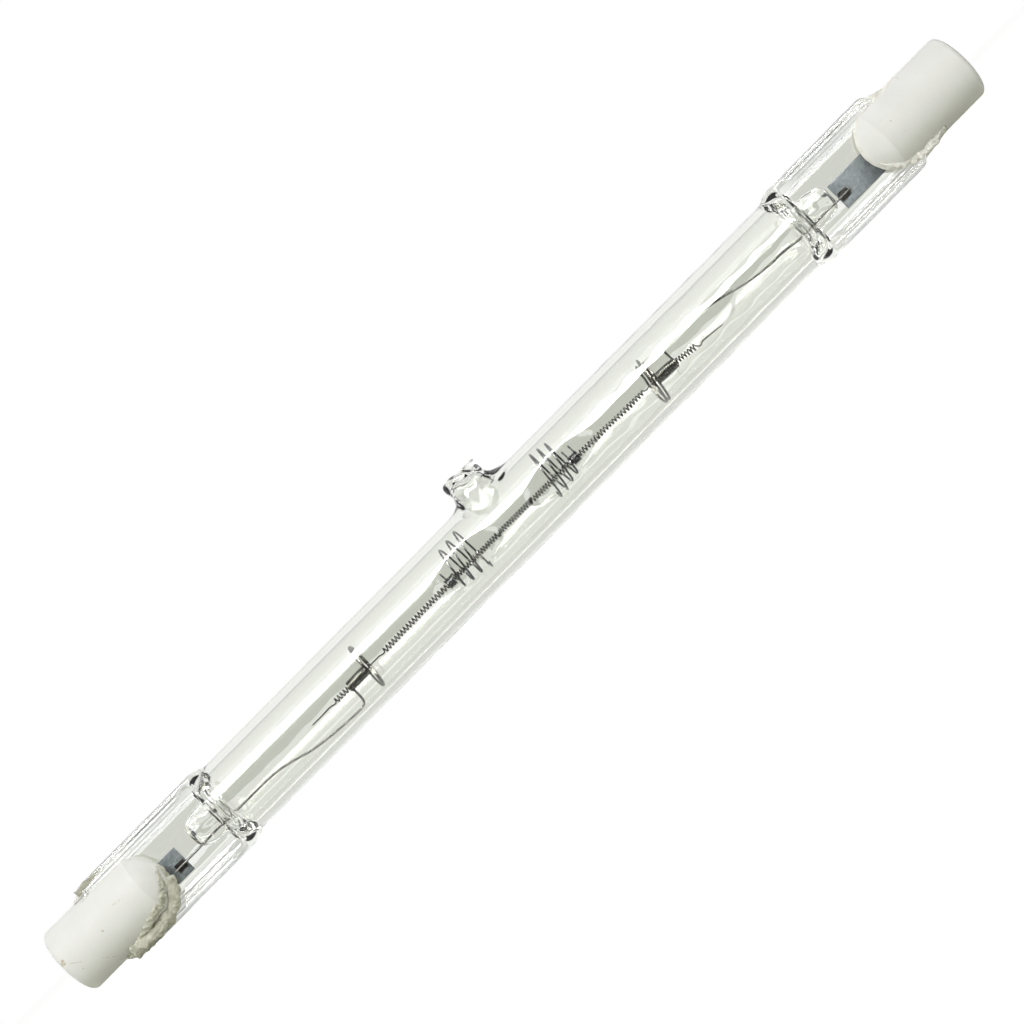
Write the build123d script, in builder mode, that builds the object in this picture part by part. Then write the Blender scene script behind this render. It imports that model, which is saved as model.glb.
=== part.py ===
"""Double-ended linear halogen lamp with recessed contacts, in millimetres.

The lamp lies along X, its origin on the tube's axis at mid-length, as it comes to rest on a flat surface:
on the flat edges of its two seals, with the sealed-off exhaust tip up. Left is -X, right is +X.
Places are worked out in the upright plane in which the seals lie, with its y up and its z to the front.
"""

import os
from dataclasses import dataclass
from math import cos, hypot, pi, radians, sin, sqrt

from build123d import *

# Whole lamp
overall_length = 117.6

# Quartz tube
tube_diameter = 8.0
tube_wall = 0.9
slope_length = 2.4
slope_rounding = 0.9

# Pinch seals: thick rails along both edges, a thinner web between them
seal_width = 8.9
seal_thickness = 3.2
seal_edge_rounding = 0.6
seal_corner_rounding = 1.0
left_seal_length = 14.7  # to the shoulder, the middle of the slope where the tube is pinched flat
right_seal_length = 12.75
left_seal_inset = 5.7  # from the end of the lamp
right_seal_inset = 8.45
flare_length = 4.0
rail_width = 1.0
rail_slope = 0.4
groove_depth = 0.5
pocket_length = 4.1  # the last flat part of the gas space, from the shoulder outwards
pocket_width = 3.6
pocket_height = 1.3

# Exhaust tip
tip_place = -1.1
tip_height = 2.5
tip_radius = 1.9
tip_neck_radius = 1.7
tip_base_radius = 2.7
tip_rounding = 0.4
tip_lean = 6.0  # degrees out of the plane of the seals
tip_bore_radius = 1.2
tip_bore_end_radius = 0.5
tip_roof = 1.2

# Foils, weld tabs and outer leads in the seals
foil_width = 2.8
foil_cover = 1.0  # quartz beyond the foil at the end of the seal
foil_thickness = 0.08
foil_drop = 0.7  # to the side away from the tip
left_foil_gap = 1.8  # from the end of the gas space to the foil
right_foil_gap = 0.3
tab_length = 1.1
tab_width = 0.9
tab_thickness = 0.06
tab_inset = 0.15
outer_lead_diameter = 0.7
outer_lead_overlap = 3.0

# Inner leads: a straight lead, a tight coil round the filament's end and a ring in the tube
lead_diameter = 0.23
lead_overlap = 1.3
left_lead_drop = 1.05
right_lead_drop = 0.9
lead_bend = 0.5
coil_wall_margin = 0.04
hook_inset = 0.15
tight_coil_length = 2.1
left_coil_room = 16.1  # from the shoulder to the tight coil
right_coil_room = 16.95
ring_play = 0.6  # between ring and tube where the ring is in the middle
ring_gap = 0.15  # between ring and tube where the ring has sunk
ring_pitch = 0.4
ring_turns = 2.2
ring_run_in = 0.5

# Filament: coiled body and tails as tubes of the coil's size, joined by its bare wire
filament_drop = 0.4
filament_coil_diameter = 0.7
filament_wire_diameter = 0.15
left_leg_length = 2.55  # bare wire between tight coil and body
right_leg_length = 1.85
left_tail_length = 3.9
right_tail_length = 4.55
tail_wire_length = 3.0
coil_clearance = 0.02

# Filament supports: a tight coil round the filament and wide turns that reach the tube's wall
support_wire_diameter = 0.19
support_coil_length = 0.75
left_support_start = 8.25
right_support_start = 7.25
support_play = 0.6  # as for the ring, to the side of the tip
support_gap = 0.15
support_pitch = 1.0
support_turns = 3.9
support_run_in = 0.7
points_per_turn = 12

# Ceramic caps
cap_diameter = 7.1
cap_length = 12.4  # to the end of the tongues
dome_radius = 3.8  # of the tongues' end
slot_end_gap = 0.4  # from the seal that goes in deepest to the bottom of the slot
cap_edge_rounding = 0.55
slot_clearance = 0.15
recess_diameter = 4.2
contact_depth = 1.7
lead_hole_diameter = 2.0

# Contacts
contact_diameter = 3.0
contact_clearance = 0.05
contact_thickness = 0.7
contact_edge_rounding = 0.25

# Cement: what shows beside each cap, and a bead along one tongue
left_cement_length = 1.4
left_cement_reach = 0.8
right_tip_side_length = 1.5
right_far_side_length = 3.0
right_cement_reach = 0.4
bead_diameter = 1.5
bead_sweep = 75  # degrees round the end of the tongue

# Sizes that follow from these
tube_radius = tube_diameter / 2
bore_radius = tube_radius - tube_wall
seal_half = seal_thickness / 2
cap_radius = cap_diameter / 2
cap_end = overall_length / 2
slot_base = cap_end - min(left_seal_inset, right_seal_inset) + slot_end_gap
tongue_end = cap_end - cap_length
contact_face = cap_end - contact_depth
recess_bottom = contact_face - contact_thickness
seat_diameter = contact_diameter + 2 * contact_clearance
tip_reach = tube_radius + tip_height
tab_top = foil_thickness / 2 + tab_thickness
lead_level = tab_top + lead_diameter / 2
slot_half = seal_half + slot_clearance
dome_middle = tongue_end + sqrt(dome_radius**2 - slot_half**2)
dome_start = dome_middle - sqrt(dome_radius**2 - cap_radius**2)
web_half = seal_half - groove_depth
groove_half = seal_width / 2 - rail_width
slope_roundings = 2 * [0, slope_rounding, slope_rounding, 0]
outer_lead_level = foil_thickness / 2 + outer_lead_diameter / 2
filament_axis = -filament_drop

lamp = Plane.XZ
lengthwise = Plane(origin=(0, 0, 0), x_dir=lamp.x_dir, z_dir=-lamp.y_dir)


def station(x):
    """The plane across the lamp at x, its own x along the width of the seals."""
    return Plane(origin=(x, 0, 0), x_dir=lamp.y_dir, z_dir=lamp.x_dir)


@dataclass
class LampEnd:
    """One end of the lamp. Places are distances from mid-length, and at() gives their x."""

    name: str
    side: int
    seal_inset: float
    seal_length: float
    foil_gap: float
    lead_drop: float
    coil_room: float

    def at(self, distance):
        return self.side * distance

    @property
    def seal_end(self):
        return cap_end - self.seal_inset

    @property
    def shoulder(self):
        return self.seal_end - self.seal_length

    @property
    def foil_start(self):
        return self.shoulder + pocket_length + self.foil_gap

    @property
    def foil_end(self):
        return self.seal_end - foil_cover

    @property
    def lead_end(self):
        return self.foil_start + lead_overlap

    @property
    def coil_end(self):
        return self.shoulder - self.coil_room

    @property
    def coil_start(self):
        return self.coil_end - tight_coil_length


left = LampEnd(
    name="left",
    side=-1,
    seal_inset=left_seal_inset,
    seal_length=left_seal_length,
    foil_gap=left_foil_gap,
    lead_drop=left_lead_drop,
    coil_room=left_coil_room,
)
right = LampEnd(
    name="right",
    side=1,
    seal_inset=right_seal_inset,
    seal_length=right_seal_length,
    foil_gap=right_foil_gap,
    lead_drop=right_lead_drop,
    coil_room=right_coil_room,
)
ends = (left, right)


def pinched_outline(half_height, end_half_height):
    """Side view of a round body pinched at both ends, from end to end of its slopes."""
    start = left.at(left.shoulder)
    finish = right.at(right.shoulder)
    slope = slope_length / 2
    corners = [
        (start - slope, end_half_height),
        (start + slope, half_height),
        (finish - slope, half_height),
        (finish + slope, end_half_height),
    ]
    return corners + [(x, -z) for x, z in reversed(corners)]


def plate(start, finish, middle_y, width, bottom, top, mode=Mode.ADD):
    """Flat plate in the plane of the seals, from start to finish along the lamp."""
    with BuildSketch(lamp.offset(bottom)) as outline:
        with Locations(((start + finish) / 2, middle_y)):
            Rectangle(abs(finish - start), width)
    extrude(outline.sketch, amount=top - bottom, mode=mode)


def rod(start, finish, place, diameter, mode=Mode.ADD):
    """Round bar along the lamp, its axis at place across the lamp."""
    with BuildSketch(station(start)) as section:
        with Locations(place):
            Circle(diameter / 2)
    extrude(section.sketch, amount=finish - start, mode=mode)


def pipe(start, finish, place, diameter, bore):
    """Round tube along the lamp, its axis at place across the lamp."""
    with BuildSketch(station(start)) as section:
        with Locations(place):
            Circle(diameter / 2)
            Circle(bore / 2, mode=Mode.SUBTRACT)
    extrude(section.sketch, amount=finish - start)


def open_turns(start, side, wire_diameter, outer_radius, outer_y, pitch, turns, run_in):
    """Wire that leaves a tight coil round the filament and widens into open turns."""
    points = []
    steps = round(turns * points_per_turn)
    inner_radius = coil_middle(wire_diameter)
    for step in range(steps + 1):
        turn = step * turns / steps
        share = min(turn / run_in, 1)
        ease = share * share * (3 - 2 * share)
        radius = inner_radius + (outer_radius - inner_radius) * ease
        centre = filament_axis + (outer_y - filament_axis) * ease
        angle = 2 * pi * turn
        points.append((start - side * pitch * turn, centre + radius * cos(angle), radius * sin(angle)))
    with BuildLine(lamp) as spiral:
        Spline(*points)
    with BuildSketch(spiral.line ^ 0) as section:
        Circle(wire_diameter / 2)
    sweep(section.sketch, path=spiral.line)


def coil_middle(wire_diameter):
    """Radius of the middle of a tight coil's wall."""
    return filament_coil_diameter / 2 + coil_clearance + (wire_diameter + coil_wall_margin) / 2


def tight_coil(start, finish, wire_diameter):
    """Sleeve of the size of a tight coil of wire round the filament."""
    middle = 2 * coil_middle(wire_diameter)
    wall = wire_diameter + coil_wall_margin
    pipe(start, finish, (filament_axis, 0), middle + wall, middle - wall)


def save(piece, name):
    piece.part.label = name
    export_step(piece.part, f"parts/{name}.step")


os.makedirs("parts", exist_ok=True)

# Filament: a straight wire along the coil's wall, with the coiled body and tails round it
left_tail = left.coil_start + left_tail_length
right_tail = right.coil_start + right_tail_length
coiled_spans = (
    (left.at(left_tail), left.at(left.coil_start)),
    (left.at(left.coil_start - left_leg_length), right.at(right.coil_start - right_leg_length)),
    (right.at(right.coil_start), right.at(right_tail)),
)
coil_wall = filament_wire_diameter + coil_wall_margin
coil_bore = filament_coil_diameter - 2 * coil_wall
wire_place = (filament_axis + (filament_coil_diameter - coil_wall) / 2, 0)
with BuildPart() as filament:
    rod(
        left.at(left_tail + tail_wire_length),
        right.at(right_tail + tail_wire_length),
        wire_place,
        filament_wire_diameter,
    )
    for start, finish in coiled_spans:
        pipe(start, finish, (filament_axis, 0), filament_coil_diameter, coil_bore)
save(filament, "filament")

# Filament supports
for end, start in ((left, left_support_start), (right, right_support_start)):
    with BuildPart() as support:
        open_turns(
            end.at(start + support_wire_diameter),
            end.side,
            support_wire_diameter,
            bore_radius - support_play - support_wire_diameter / 2,
            support_play - support_gap,
            support_pitch,
            support_turns,
            support_run_in,
        )
        tight_coil(end.at(start), end.at(start + support_coil_length), support_wire_diameter)
    save(support, f"filament_support_{end.name}")

# Inner leads: the route of each through the tube, as distance from the shoulder and place across the
# tube in bore radii, then the hook beside its tight coil
lead_routes = {
    "left": [(6.8, -0.355, 0.03), (9.5, -0.71, 0), (15.5, -0.855, 0)],
    "right": [(7.25, -0.16, -0.19), (9.0, 0.106, -0.45), (13.0, 0.406, -0.613)],
}
hooks = {"left": (-0.742, 0), "right": (0.355, -0.613)}
for end in ends:
    hook_place = end.coil_end - hook_inset
    hook_y, hook_z = (bore_radius * share for share in hooks[end.name])
    coil_share = coil_middle(lead_diameter) / hypot(hook_y - filament_axis, hook_z)
    route = [
        (end.lead_end, -end.lead_drop, lead_level),
        (end.shoulder, -end.lead_drop, lead_level),
        *[
            (end.shoulder - along, bore_radius * y, bore_radius * z)
            for along, y, z in lead_routes[end.name]
        ],
        (hook_place, hook_y, hook_z),
        (hook_place, filament_axis + coil_share * (hook_y - filament_axis), coil_share * hook_z),
    ]
    with BuildPart() as inner_lead:
        with BuildLine(lamp) as lead:
            FilletPolyline(*[(end.at(x), y, z) for x, y, z in route], radius=lead_bend)
        with BuildSketch(lead.line ^ 0):
            Circle(lead_diameter / 2)
        sweep(path=lead.line)
        open_turns(
            end.at(end.coil_start + lead_diameter),
            end.side,
            lead_diameter,
            bore_radius - ring_play - lead_diameter / 2,
            ring_gap - ring_play,
            ring_pitch,
            ring_turns,
            ring_run_in,
        )
        tight_coil(end.at(end.coil_start), end.at(end.coil_end), lead_diameter)
    save(inner_lead, f"inner_lead_{end.name}")

# Foils, weld tabs and outer leads
foils = {}
tabs = {}
outer_leads = {}
for end in ends:
    with BuildPart() as foil:
        plate(
            end.at(end.foil_start),
            end.at(end.foil_end),
            -foil_drop,
            foil_width,
            -foil_thickness / 2,
            foil_thickness / 2,
        )
    save(foil, f"foil_{end.name}")
    foils[end.name] = foil

    tab_start = end.foil_start + tab_inset
    with BuildPart() as tab:
        plate(
            end.at(tab_start),
            end.at(tab_start + tab_length),
            -end.lead_drop,
            tab_width,
            foil_thickness / 2,
            tab_top,
        )
    save(tab, f"weld_tab_{end.name}")
    tabs[end.name] = tab

    with BuildPart() as outer_lead:
        rod(
            end.at(end.foil_end - outer_lead_overlap),
            end.at(recess_bottom),
            (0, outer_lead_level),
            outer_lead_diameter,
        )
    save(outer_lead, f"outer_lead_{end.name}")
    outer_leads[end.name] = outer_lead

# Quartz envelope: the outside first, then the gas space, then the room for the wires and foils
tip_axis_dir = lamp.y_dir * cos(radians(tip_lean)) + lamp.z_dir * sin(radians(tip_lean))
tip_plane = Plane(origin=(tip_place, 0, 0), x_dir=lamp.x_dir, z_dir=lamp.x_dir.cross(tip_axis_dir))
tip_axis = Axis(tip_plane.origin, tip_axis_dir)
with BuildPart() as gas_space:
    rod(-left.shoulder - slope_length, right.shoulder + slope_length, (0, 0), 2 * bore_radius)
    with BuildSketch(lengthwise):
        with BuildLine():
            FilletPolyline(
                *pinched_outline(bore_radius, pocket_height / 2),
                radius=slope_roundings,
                close=True,
            )
        make_face()
    extrude(amount=bore_radius, both=True, mode=Mode.INTERSECT)
    for end in ends:
        with BuildSketch(lamp.offset(-pocket_height / 2)):
            pocket_middle = end.shoulder + pocket_length - pocket_width / 2
            with Locations((end.at(pocket_middle), 0)):
                Circle(pocket_width / 2)
            with Locations((end.at((end.shoulder + pocket_middle) / 2), 0)):
                Rectangle(pocket_middle - end.shoulder, pocket_width)
        extrude(amount=pocket_height)
    with BuildSketch(tip_plane):
        with BuildLine():
            bore_roof = tip_reach - tip_roof
            bore_side = Polyline(
                (0, 0),
                (tip_bore_radius, 0),
                (tip_bore_radius, bore_radius),
                (tip_bore_end_radius, bore_roof - tip_bore_end_radius),
            )
            RadiusArc(bore_side @ 1, (0, bore_roof), -tip_bore_end_radius)
            Line((0, bore_roof), (0, 0))
        make_face()
    revolve(axis=tip_axis)

seals = {}
for end in ends:
    with BuildPart() as seal:
        with BuildSketch(lamp.offset(-seal_half)):
            with BuildLine():
                FilletPolyline(
                    (end.at(end.shoulder - flare_length), bore_radius),
                    (end.at(end.shoulder), seal_width / 2),
                    (end.at(end.seal_end), seal_width / 2),
                    (end.at(end.seal_end), -seal_width / 2),
                    (end.at(end.shoulder), -seal_width / 2),
                    (end.at(end.shoulder - flare_length), -bore_radius),
                    radius=(0, flare_length, seal_corner_rounding, seal_corner_rounding, flare_length, 0),
                    close=True,
                )
            make_face()
        extrude(amount=seal_thickness)
        fillet(seal.faces().filter_by(Axis(lamp.origin, lamp.z_dir)).edges(), seal_edge_rounding)
        for face in (1, -1):
            with BuildSketch(station(end.at(end.shoulder + slope_length / 2))):
                with BuildLine():
                    Polyline(
                        (groove_half, face * seal_half),
                        (groove_half - rail_slope, face * web_half),
                        (-groove_half + rail_slope, face * web_half),
                        (-groove_half, face * seal_half),
                        close=True,
                    )
                make_face()
            extrude(amount=end.at(end.seal_length), mode=Mode.SUBTRACT)
    seals[end.name] = seal

with BuildPart() as quartz_body:
    rod(-left.shoulder - slope_length, right.shoulder + slope_length, (0, 0), tube_diameter)
    with BuildSketch(lengthwise):
        with BuildLine():
            FilletPolyline(*pinched_outline(tube_radius, web_half), radius=slope_roundings, close=True)
        make_face()
    extrude(amount=tube_radius, both=True, mode=Mode.INTERSECT)
    with BuildSketch(tip_plane):
        with BuildLine():
            tip_side = Polyline((0, 0), (tip_base_radius, 0), (tip_base_radius, bore_radius))
            tip_waist = Spline(
                tip_side @ 1,
                (tip_neck_radius, tube_radius + tip_height / 3),
                (tip_radius, tip_reach - tip_rounding),
            )
            tip_rim = RadiusArc(tip_waist @ 1, (tip_radius - tip_rounding, tip_reach), -tip_rounding)
            Polyline(tip_rim @ 1, (0, tip_reach), (0, 0))
        make_face()
    revolve(axis=tip_axis)
    for end in ends:
        add(seals[end.name])

with BuildPart() as quartz_envelope:
    add(quartz_body)
    add(gas_space, mode=Mode.SUBTRACT)
    for end in ends:
        lead_room = (-end.lead_drop, lead_level)
        rod(end.at(end.shoulder), end.at(end.lead_end), lead_room, lead_diameter, Mode.SUBTRACT)
        add(foils[end.name], mode=Mode.SUBTRACT)
        add(tabs[end.name], mode=Mode.SUBTRACT)
        add(outer_leads[end.name], mode=Mode.SUBTRACT)
save(quartz_envelope, "quartz_envelope")

# Ceramic caps, contacts and cement
cement_shoulders = {
    "left": {1: (left_cement_length, left_cement_reach), -1: (left_cement_length, left_cement_reach)},
    "right": {
        1: (right_tip_side_length, right_cement_reach),
        -1: (right_far_side_length, right_cement_reach),
    },
}
for end in ends:
    slot_span = (end.at(dome_middle - dome_radius), end.at(slot_base))
    with BuildPart() as cap_bar:
        with BuildSketch(lamp):
            with BuildLine():
                dome_tip = (end.at(dome_middle - dome_radius), 0)
                RadiusArc(dome_tip, (end.at(dome_start), cap_radius), end.side * dome_radius)
                Polyline(
                    (end.at(dome_start), cap_radius),
                    (end.at(cap_end), cap_radius),
                    (end.at(cap_end), 0),
                    dome_tip,
                )
            make_face()
        revolve(axis=Axis.X)

    with BuildPart() as ceramic_cap:
        add(cap_bar)
        rims = ceramic_cap.edges().filter_by(GeomType.CIRCLE).sort_by(Axis.X)
        fillet(rims[0 if end is left else -1], cap_edge_rounding)
        plate(*slot_span, 0, cap_diameter, -slot_half, slot_half, Mode.SUBTRACT)
        rod(end.at(slot_base), end.at(cap_end), (0, 0), lead_hole_diameter, Mode.SUBTRACT)
        rod(end.at(recess_bottom), end.at(cap_end), (0, 0), seat_diameter, Mode.SUBTRACT)
        rod(end.at(contact_face), end.at(cap_end), (0, 0), recess_diameter, Mode.SUBTRACT)
    save(ceramic_cap, f"ceramic_cap_{end.name}")

    with BuildPart() as contact:
        rod(end.at(recess_bottom), end.at(contact_face), (0, 0), contact_diameter)
        rims = contact.edges().filter_by(GeomType.CIRCLE).sort_by(Axis.X)
        fillet(rims[0 if end is left else -1], contact_edge_rounding)
    save(contact, f"contact_{end.name}")

    with BuildPart() as cement:
        add(cap_bar)
        plate(*slot_span, 0, cap_diameter, -slot_half, slot_half, Mode.INTERSECT)
        for edge, (shoulder_length, shoulder_reach) in cement_shoulders[end.name].items():
            with BuildSketch(lamp):
                with BuildLine():
                    Polyline(
                        (end.at(end.seal_end), edge * groove_half),
                        (end.at(end.seal_end), edge * (cap_radius + shoulder_reach)),
                        (end.at(end.seal_end + shoulder_length), edge * cap_radius),
                        (end.at(end.seal_end + shoulder_length), edge * groove_half),
                        close=True,
                    )
                make_face()
            extrude(amount=web_half, both=True)
        if end is left:
            with BuildLine(lamp.offset(seal_half)) as bead_path:
                bead_turn = (end.at(tongue_end + cap_radius), -cap_radius)
                bead_run = Line((end.at(slot_base), -cap_radius), bead_turn)
                JernArc(bead_run @ 1, bead_run % 1, cap_radius, bead_sweep)
            with BuildSketch(bead_path.line ^ 0):
                Circle(bead_diameter / 2)
            sweep(path=bead_path.line)
        add(ceramic_cap, mode=Mode.SUBTRACT)
        add(quartz_body, mode=Mode.SUBTRACT)
        add(outer_leads[end.name], mode=Mode.SUBTRACT)
    save(cement, f"cement_{end.name}")
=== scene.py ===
# %% [markdown]
# # A double-ended halogen lamp
# The lamp is a clear quartz tube, pinched flat at both ends, with a coiled filament stretched along it and a
# white ceramic cap cemented on each end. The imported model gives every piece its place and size. This lesson
# builds the looks round it: fine glass skins, true coils of wire, foils, cement crusts and finishes.

# %% Load the frame
import math

import bmesh
import bpy
import numpy as np
from mathutils import Matrix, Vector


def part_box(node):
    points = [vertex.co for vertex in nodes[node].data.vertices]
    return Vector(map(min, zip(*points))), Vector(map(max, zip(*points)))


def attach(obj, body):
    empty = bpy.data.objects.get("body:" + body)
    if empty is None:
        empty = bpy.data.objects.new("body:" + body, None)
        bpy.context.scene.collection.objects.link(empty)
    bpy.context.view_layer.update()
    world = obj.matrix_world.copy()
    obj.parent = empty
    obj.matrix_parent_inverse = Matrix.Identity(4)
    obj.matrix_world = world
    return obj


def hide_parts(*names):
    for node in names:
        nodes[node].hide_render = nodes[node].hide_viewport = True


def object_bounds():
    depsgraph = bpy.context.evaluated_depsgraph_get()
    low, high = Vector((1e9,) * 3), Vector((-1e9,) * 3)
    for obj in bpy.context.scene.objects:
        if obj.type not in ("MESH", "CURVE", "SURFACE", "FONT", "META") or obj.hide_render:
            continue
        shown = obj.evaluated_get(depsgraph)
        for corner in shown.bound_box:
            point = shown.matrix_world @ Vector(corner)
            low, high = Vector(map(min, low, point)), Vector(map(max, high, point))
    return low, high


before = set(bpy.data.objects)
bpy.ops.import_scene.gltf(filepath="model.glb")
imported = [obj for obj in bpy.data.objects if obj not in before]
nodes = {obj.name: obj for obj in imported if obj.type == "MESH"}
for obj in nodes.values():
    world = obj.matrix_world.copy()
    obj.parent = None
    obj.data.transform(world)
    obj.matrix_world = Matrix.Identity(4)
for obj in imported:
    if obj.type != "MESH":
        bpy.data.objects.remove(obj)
cad_low, cad_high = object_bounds()
print("CAD box", [round(1000 * (high - low), 2) for low, high in zip(cad_low, cad_high)], "mm")

# %% [markdown]
# ## Lamp coordinates
# All shapes are worked out in millimetres along the lamp, up (to the side of the sealed exhaust tip) and to
# the front (the side that the camera sees). One function turns them into Blender's metres, where the front
# is -Y. The main sizes are read from the frame, so the glass fits the caps by itself.

# %% Sizes from the frame
MILLIMETRE = 0.001


def lamp_box(node):
    """Lowest and highest corner of a CAD node as along, up and front, in millimetres."""
    low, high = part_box(node)
    return (
        np.array([low.x, low.z, -high.y]) / MILLIMETRE,
        np.array([high.x, high.z, -low.y]) / MILLIMETRE,
    )


def lamp_points(along, up, front):
    """Three arrays of coordinates as one array of points, their sizes matched."""
    return np.stack(np.broadcast_arrays(along, up, front), axis=-1).astype(float)


def to_blender(points):
    """Lamp points in millimetres as Blender points in metres."""
    along, up, front = np.moveaxis(points, -1, 0)
    return lamp_points(along, -front, up) * MILLIMETRE


quartz_low, quartz_high = lamp_box("quartz_envelope")
tube_radius = quartz_high[2]
tube_wall = 0.9
bore_radius = tube_radius - tube_wall
seal_half_width = -quartz_low[1]
seal_half = 1.6
web_half = 1.1
shoulder = {-1: 38.4, 1: 37.6}
seal_end = {-1: -quartz_low[0], 1: quartz_high[0]}
tip_place = -1.1
print("tube radius", tube_radius, "seal half width", seal_half_width, "seal ends", seal_end)

# %% [markdown]
# ## Skins
# Every new piece here is one or more skins: a grid of points, closed round its columns, with a fan of
# triangles round a pole at each end. Bmesh operators could lathe and bridge such shapes, but a formula on a
# grid needs no loop over points, and the whole skin can be reshaped by array arithmetic. The sign of the
# enclosed volume tells whether the faces point outwards.

# %% From grids to meshes
def skin_faces(rows, columns, first):
    """Quads of a grid closed round its columns, then triangles from each end row to its pole."""
    row = first + columns * np.arange(rows - 1)[:, None]
    here = np.arange(columns)
    beside = (here + 1) % columns
    quads = np.stack(
        [row + here, row + beside, row + columns + beside, row + columns + here], axis=-1
    ).reshape(-1, 4)
    last = first + columns * (rows - 1)
    start_pole = np.full(columns, first + columns * rows)
    start_fan = np.stack([start_pole, first + beside, first + here], axis=-1)
    end_fan = np.stack([start_pole + 1, last + here, last + beside], axis=-1)
    return quads, np.concatenate([start_fan, end_fan])


def enclosed_volume(points, quads, fans):
    """Volume inside a closed skin: the sum of the wedges from the origin to each triangle."""
    triangles = np.concatenate([quads[:, [0, 1, 2]], quads[:, [0, 2, 3]], fans])
    a, b, c = (points[triangles[:, k]] for k in range(3))
    return np.einsum("ij,ij->i", a, np.cross(b, c)).sum() / 6


def make_piece(name, skins, material, replaces=(), hollow=()):
    """One object from skins [rows, columns, 3], kept inside the CAD box. Faces point outwards, and inwards
    on the hollow skins."""
    points, faces, count = [], [], 0
    for index, skin in enumerate(skins):
        rows, columns = skin.shape[:2]
        grid = np.clip(to_blender(skin), cad_low, cad_high)
        poles = np.stack([grid[0].mean(axis=0), grid[-1].mean(axis=0)])
        own = np.concatenate([grid.reshape(-1, 3), poles])
        quads, fans = skin_faces(rows, columns, 0)
        if (enclosed_volume(own, quads, fans) < 0) != (index in hollow):
            quads, fans = quads[:, ::-1], fans[:, ::-1]
        points.append(own)
        faces += (quads + count).tolist() + (fans + count).tolist()
        count += len(own)
    mesh = bpy.data.meshes.new(name)
    mesh.from_pydata(np.concatenate(points), [], faces)
    mesh.shade_smooth()
    mesh.materials.append(material)
    piece = bpy.data.objects.new(name, mesh)
    bpy.context.scene.collection.objects.link(piece)
    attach(piece, "root")
    if replaces:
        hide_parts(*replaces)
    print(name, len(faces), "faces")
    return piece


# %% [markdown]
# ## Smooth lines, round wires and lumps
# Bent wire and melted glass have no sharp corners, so their lines are cubic B-splines: each stretch is a
# weighted mean of four neighbouring points, and the line stays inside the corners. A wire is a ring carried
# along such a line. Curve objects with a bevel could draw wires too, but arrays can be wound, measured and
# reshaped at once. Lumps are a sum of sine waves in random directions, with a fixed seed.

# %% Lines, wires and lumps
def smooth_line(points, count, loop=False):
    """Cubic B-spline: every point is a mean of four control points, weighted by cubic blends."""
    points = np.asarray(points, float)
    if loop:
        points = np.concatenate([points[-1:], points, points[:2]])
    else:
        points = np.concatenate([points[:1]] * 2 + [points] + [points[-1:]] * 2)
    place = np.linspace(0, len(points) - 3, count, endpoint=not loop)
    start = np.minimum(place.astype(int), len(points) - 4)
    t = (place - start)[:, None]
    weights = ((1 - t) ** 3, 3 * t**3 - 6 * t**2 + 4, -3 * t**3 + 3 * t**2 + 3 * t + 1, t**3)
    return sum(weight * points[start + k] for k, weight in enumerate(weights)) / 6


def unit(vectors):
    """Vectors of length one."""
    return vectors / np.linalg.norm(vectors, axis=-1, keepdims=True)


def wire_skin(path, radius, reference, sides=8):
    """Round wire: rings square to the path, the first and last ones shrunk on a half ball at each end."""
    bow = np.radians([75, 50, 25])
    tangent = unit(np.gradient(path, axis=0))
    reference = np.broadcast_to(reference, path.shape)
    start = path[0] - radius * np.sin(bow)[:, None] * tangent[0]
    finish = path[-1] + radius * np.sin(bow[::-1])[:, None] * tangent[-1]
    line = np.concatenate([start, path, finish])
    size = radius * np.concatenate([np.cos(bow), np.ones(len(path)), np.cos(bow[::-1])])
    repeat = np.concatenate([[0] * len(bow), np.arange(len(path)), [-1] * len(bow)])
    side = unit(np.cross(tangent[repeat], reference[repeat]))
    other = np.cross(tangent[repeat], side)
    angle = np.linspace(0, 2 * np.pi, sides, endpoint=False)[:, None]
    ring = np.cos(angle) * side[:, None] + np.sin(angle) * other[:, None]
    return line[:, None] + size[:, None, None] * ring


def wound(along, turns, distance, middle_up):
    """Wire wound round a line along the lamp: distance from the line, at an angle of the turns so far.
    Also gives a direction that the wire never follows, for wire_skin."""
    angle = 2 * np.pi * turns
    path = lamp_points(along, middle_up + distance * np.cos(angle), distance * np.sin(angle))
    lengthwise = np.abs(unit(np.gradient(path, axis=0))[:, :1])
    outwards = lamp_points(0, np.cos(angle), np.sin(angle))
    return path, (1 - lengthwise) * np.array([1.0, 0, 0]) + lengthwise * outwards


def ease(share):
    """Smooth step from 0 to 1: three squares less two cubes of the share."""
    share = np.clip(share, 0, 1)
    return share * share * (3 - 2 * share)


def lumps(points, size, seed, waves=14):
    """Sum of sine waves in random directions, about as long as size, between about -1 and 1."""
    random = np.random.default_rng(seed)
    direction = unit(random.normal(size=(waves, 3)))
    pace = 2 * np.pi / (size * random.uniform(0.7, 1.6, waves))
    phase = random.uniform(0, 2 * np.pi, waves)
    return np.sin((points @ direction.T) * pace + phase).sum(axis=-1) / math.sqrt(waves)


# %% [markdown]
# ## Finishes
# One function starts a Principled material and a second one adds noise. Numbers that hold all over a surface
# are set on the shader's sockets. Colour, roughness and bump vary by noise in Object coordinates, in metres.

# %% Material helpers
def finish_of(name, **sockets):
    """New material with a Principled shader whose sockets have these values."""
    material = bpy.data.materials.new(name)
    material.use_nodes = True
    shader = material.node_tree.nodes["Principled BSDF"]
    for socket, value in sockets.items():
        shader.inputs[socket.replace("_", " ")].default_value = value
    return material, material.node_tree, shader


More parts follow.
